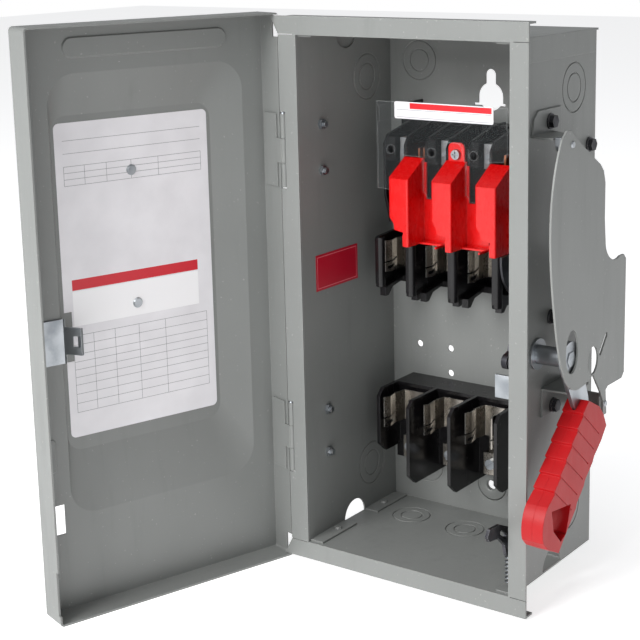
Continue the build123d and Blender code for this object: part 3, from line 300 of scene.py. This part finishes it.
def film_label(name, bands, rules=(), ground=FILM_WHITE):
    """Printed film: a pale ground, plain coloured bands and hairline rules, slightly rippled.

    Each band is (direction, low, high, colour, cross direction, cross low, cross high);
    each rule is (direction, place, cross direction, cross low, cross high)."""
    material, tree, shader = new_material(name)
    where = place(tree)
    base = mix(tree, ramp(tree, noise(tree, where, 35.0, 5.0), 0.35, 0.75), colour(*ground),
               colour(*[int(channel * 0.955) for channel in ground]))
    for direction, low, high, tone, cross, cross_low, cross_high in bands:
        inside = maths(tree, "MULTIPLY", between(tree, along(tree, direction), low, high),
                       between(tree, along(tree, cross), cross_low, cross_high))
        base = mix(tree, inside, base, colour(*tone))
    for direction, at, cross, cross_low, cross_high in rules:
        inside = maths(tree, "MULTIPLY",
                       between(tree, along(tree, direction), at - HAIRLINE / 2, at + HAIRLINE / 2),
                       between(tree, along(tree, cross), cross_low, cross_high))
        base = mix(tree, maths(tree, "MULTIPLY", inside, 0.75), base, colour(*LINE_INK))
    tree.links.new(base, shader.inputs["Base Color"])
    shader.inputs["Roughness"].default_value = 0.32
    ripple = bump(tree, noise(tree, where, 55.0, 2.0), 0.25 * MM, 0.25)
    tree.links.new(ripple, shader.inputs["Normal"])
    return material


# ---------------------------------------------------------------- label faces

def door_label_material():
    """A white data label: blank ruled boxes above and below a plain red strip.

    The door stands open as built, so the label's width runs along `way`, square to neither X nor Y."""
    low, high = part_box("door_label")
    height = high.z - low.z
    hinge = next(joint for joint in frame["joints"] if joint["name"] == "door_hinge")
    open_angle = math.radians(hinge["range_deg"][1])
    way = Vector((math.cos(open_angle), -math.sin(open_angle), 0))
    spans = [way.dot(vertex.co) for vertex in nodes["door_label"].data.vertices]
    start, end = min(spans), max(spans)
    width = end - start
    strip_low = low.z + 0.475 * height
    strip_from, strip_to = start + 0.10 * width, end - 0.06 * width
    bands = [
        (UP, strip_low, strip_low + 0.034 * height, RED_INK, way, strip_from, strip_to),
        (UP, strip_low - 0.115 * height, strip_low - 0.004 * height, WHITE_INK, way, strip_from, strip_to),
    ]
    heading_rows = (0.945, 0.905, 0.865, 0.845, 0.825, 0.805)
    table_rows = (0.33, 0.30, 0.27, 0.245, 0.22, 0.195, 0.17, 0.14, 0.11, 0.08)
    rules = [(UP, low.z + share * height, way, start + 0.05 * width, end - 0.05 * width)
             for share in heading_rows + table_rows]
    for share in (0.05, 0.34, 0.52, 0.68, 0.82, 0.95):
        for rows_low, rows_high in ((0.08, 0.33), (0.805, 0.865)):
            rules.append((way, start + share * width, UP,
                          low.z + rows_low * height, low.z + rows_high * height))
    return film_label("door label film", bands, rules)


def shield_label_material():
    """A white strip with a plain red heading bar."""
    low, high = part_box("shield_label")
    height, width = high.z - low.z, high.x - low.x
    heading = (UP, high.z - 0.40 * height, high.z - 0.06 * height, HEADING_RED, ACROSS,
               low.x + 0.16 * width, high.x - 1.5 * MM)
    rules = [(UP, low.z + share * height, ACROSS, low.x + 2 * MM, high.x - 2 * MM) for share in (0.1, 0.53)]
    return film_label("shield label film", [heading], rules)


def side_label_material():
    """A plain red label with a paler border line."""
    low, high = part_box("side_label")
    bands = []
    for inset, tone in ((1.6 * MM, SIDE_BORDER), (2.16 * MM, SIDE_RED)):
        bands.append((UP, low.z + inset, high.z - inset, tone, INWARD, low.y + inset, high.y - inset))
    return film_label("red label film", bands, ground=SIDE_RED)


# ---------------------------------------------------------------- pieces made here

def new_piece(name, shape, material, body):
    """Puts a finished mesh or curve into the model, on its body."""
    piece = bpy.data.objects.new(name, shape)
    bpy.context.scene.collection.objects.link(piece)
    shape.materials.append(material)
    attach(piece, body)
    return piece


def latch_coil(material, turns=7, wire=0.45 * MM, steps=18):
    """The latch's wire coil, wound where its plain solid lies."""
    low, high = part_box("latch_spring")
    middle = (low + high) / 2
    radius = (high.x - low.x) / 2 - wire
    curve = bpy.data.curves.new("latch coil", "CURVE")
    curve.dimensions = "3D"
    curve.bevel_depth = wire
    curve.bevel_resolution = 3
    line = curve.splines.new("POLY")
    line.points.add(turns * steps)
    for step, point in enumerate(line.points):
        turn = 2 * math.pi * step / steps
        height = low.z + wire + (high.z - low.z - 2 * wire) * step / (turns * steps)
        point.co = (middle.x + radius * math.cos(turn), middle.y + radius * math.sin(turn), height, 1)
    coil = new_piece("latch_coil", curve, material, "enclosure")
    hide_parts("latch_spring")


def spun_ring(name, centre, profile, material, sides=64):
    """A ring pressed up from the back wall: a profile of (radius, height) turned about centre."""
    mesh = bpy.data.meshes.new(name)
    made = bmesh.new()
    rows = []
    for radius, height in profile:
        row = []
        for side in range(sides):
            turn = 2 * math.pi * side / sides
            row.append(made.verts.new((centre.x + radius * math.cos(turn), centre.y - height,
                                       centre.z + radius * math.sin(turn))))
        rows.append(row)
    for inner, outer in zip(rows, rows[1:] + rows[:1]):
        for side in range(sides):
            after = (side + 1) % sides
            made.faces.new((inner[side], inner[after], outer[after], outer[side]))
    bmesh.ops.recalc_face_normals(made, faces=made.faces)
    for face in made.faces:
        face.smooth = True
    made.to_mesh(mesh)
    made.free()
    new_piece(name, mesh, material, "enclosure")


def wall_boss(material):
    """The shallow dome round the lower mounting hole."""
    hole = next(mount for mount in frame["record"]["mounts"] if mount["name"] == "lower_mounting_hole")
    half_wall = 0.75 * MM
    inside = Vector(hole["pos_m"]) - half_wall * INWARD
    profile = [(4.1, 0.02), (4.1, 1.5), (5.2, 1.9), (7.0, 1.8),
               (9.5, 1.1), (12.0, 0.35), (13.5, 0.06), (13.5, 0.02)]
    spun_ring("lower_hole_boss", inside, [(r * MM, h * MM) for r, h in profile], material)


def dress_nodes():
    """Gives every carried-over node its material, and adds the pieces made here."""
    grey = enamel("grey enamel", colour(126, 128, 126), colour(168, 169, 166), 0.38)
    wall_boss(grey)
    give(grey, *PAINTED)
    black = moulding("black phenolic", colour(10, 9, 10), colour(40, 38, 41), 0.2)
    give(black, *BLACK_MOULDED)
    cover_red = moulding("red cover plastic", colour(208, 2, 4), colour(222, 14, 12), 0.24, 0.02 * MM, 0.2)
    give(cover_red, "arc_cover")
    handle_red = moulding("red handle plastic", colour(172, 0, 8), colour(190, 8, 18), 0.4)
    give(handle_red, "grip_left", "grip_right")
    zinc = plated("zinc plate", colour(186, 190, 194), colour(128, 134, 140), 0.26)
    give(zinc, *ZINC_PLATED)
    latch_coil(zinc)
    steel = plated("dark steel", colour(84, 84, 88), colour(44, 44, 48), 0.34, 120.0)
    give(steel, *DARK_STEEL)
    nickel = plated("nickel plate", colour(176, 171, 163), colour(92, 86, 78), 0.16, 160.0, (1, 1, 0.3))
    give(nickel, *NICKEL_PLATED)
    copper = plated("copper", colour(200, 128, 92), colour(140, 76, 54), 0.26, 140.0, (1, 1, 0.4))
    give(copper, *COPPER)
    tinned = plated("tinned aluminium", colour(190, 191, 192), colour(140, 141, 143), 0.3, 220.0, (1, 1, 0.2))
    give(tinned, "line_lugs")
    give(clear_sheet("clear sheet"), "line_shield")
    give(door_label_material(), "door_label")
    give(shield_label_material(), "shield_label")
    give(side_label_material(), "side_label")


# ---------------------------------------------------------------- stage, light, camera

def stage_floor():
    """A pale floor under the box, bright enough to fade into the background."""
    lowest = cad_bounds[0].z
    reach = 6.0
    gap = 0.2 * MM
    mesh = bpy.data.meshes.new("floor")
    made = bmesh.new()
    corners = [made.verts.new((x, y, lowest - gap))
               for x, y in ((-reach, -reach), (reach, -reach), (reach, reach), (-reach, reach))]
    made.faces.new(corners)
    made.to_mesh(mesh)
    made.free()
    floor = bpy.data.objects.new("floor", mesh)
    bpy.context.scene.collection.objects.link(floor)
    material, _, shader = new_material("pale floor")
    shader.inputs["Base Color"].default_value = (0.86, 0.86, 0.86, 1)
    shader.inputs["Roughness"].default_value = 0.9
    shader.inputs["Emission Color"].default_value = (1, 1, 1, 1)
    shader.inputs["Emission Strength"].default_value = 0.62
    mesh.materials.append(material)


def soft_light(name, position, target, size, power):
    """A rectangular lamp of size (width, height) in metres, aimed at target, with power in watts."""
    data = bpy.data.lights.new(name, "AREA")
    data.shape = "RECTANGLE"
    data.size, data.size_y = size
    data.energy = power
    light = bpy.data.objects.new(name, data)
    light.location = position
    light.rotation_euler = (Vector(target) - Vector(position)).to_track_quat("-Z", "Y").to_euler()
    bpy.context.scene.collection.objects.link(light)


def light_scene():
    """A large soft key lamp in front, a weak one at the side, one above, and a grey room seen as white."""
    soft_light("key", position=(-0.45, -2.3, 1.2), target=(0, 0, 0), size=(1.2, 1.2), power=60)
    soft_light("side", position=(1.2, -2.2, 0.9), target=(-0.05, -0.05, 0), size=(0.9, 1.2), power=4)
    soft_light("top", position=(-0.1, -0.8, 2.4), target=(0, 0, 0), size=(1.4, 1.4), power=18)
    room_grey, seen_white = (0.27, 0.275, 0.285, 1), (1, 1, 1, 1)
    world = bpy.data.worlds.new("studio")
    bpy.context.scene.world = world
    world.use_nodes = True
    tree = world.node_tree
    background = tree.nodes["Background"]
    seen = add(tree, "ShaderNodeLightPath").outputs["Is Camera Ray"]
    tree.links.new(mix(tree, seen, room_grey, seen_white), background.inputs["Color"])
    background.inputs["Strength"].default_value = 1.0
    bpy.context.scene.view_settings.view_transform = "Standard"


def set_camera():
    """Stands to the right of the open door and above it, looking left and slightly down."""
    yaw, pitch, roll = 0.6183, -0.2116, -0.0188
    position = (0.5904, -1.0134, 0.2819)
    ahead = Vector((-math.sin(yaw) * math.cos(pitch), math.cos(yaw) * math.cos(pitch), math.sin(pitch)))
    level = Vector((math.cos(yaw), math.sin(yaw), 0))
    upright = level.cross(ahead)
    right = math.cos(roll) * level + math.sin(roll) * upright
    up = math.cos(roll) * upright - math.sin(roll) * level
    data = bpy.data.cameras.new("camera")
    data.lens = 84.52
    data.sensor_width = 36.0
    data.shift_x = -0.0541
    data.shift_y = -0.12
    data.clip_start = 0.01
    camera = bpy.data.objects.new("camera", data)
    turn = Matrix((right, up, -ahead)).transposed().to_4x4()
    camera.matrix_world = Matrix.Translation(position) @ turn
    bpy.context.scene.collection.objects.link(camera)
    bpy.context.scene.camera = camera


dress_nodes()
stage_floor()
light_scene()
set_camera()
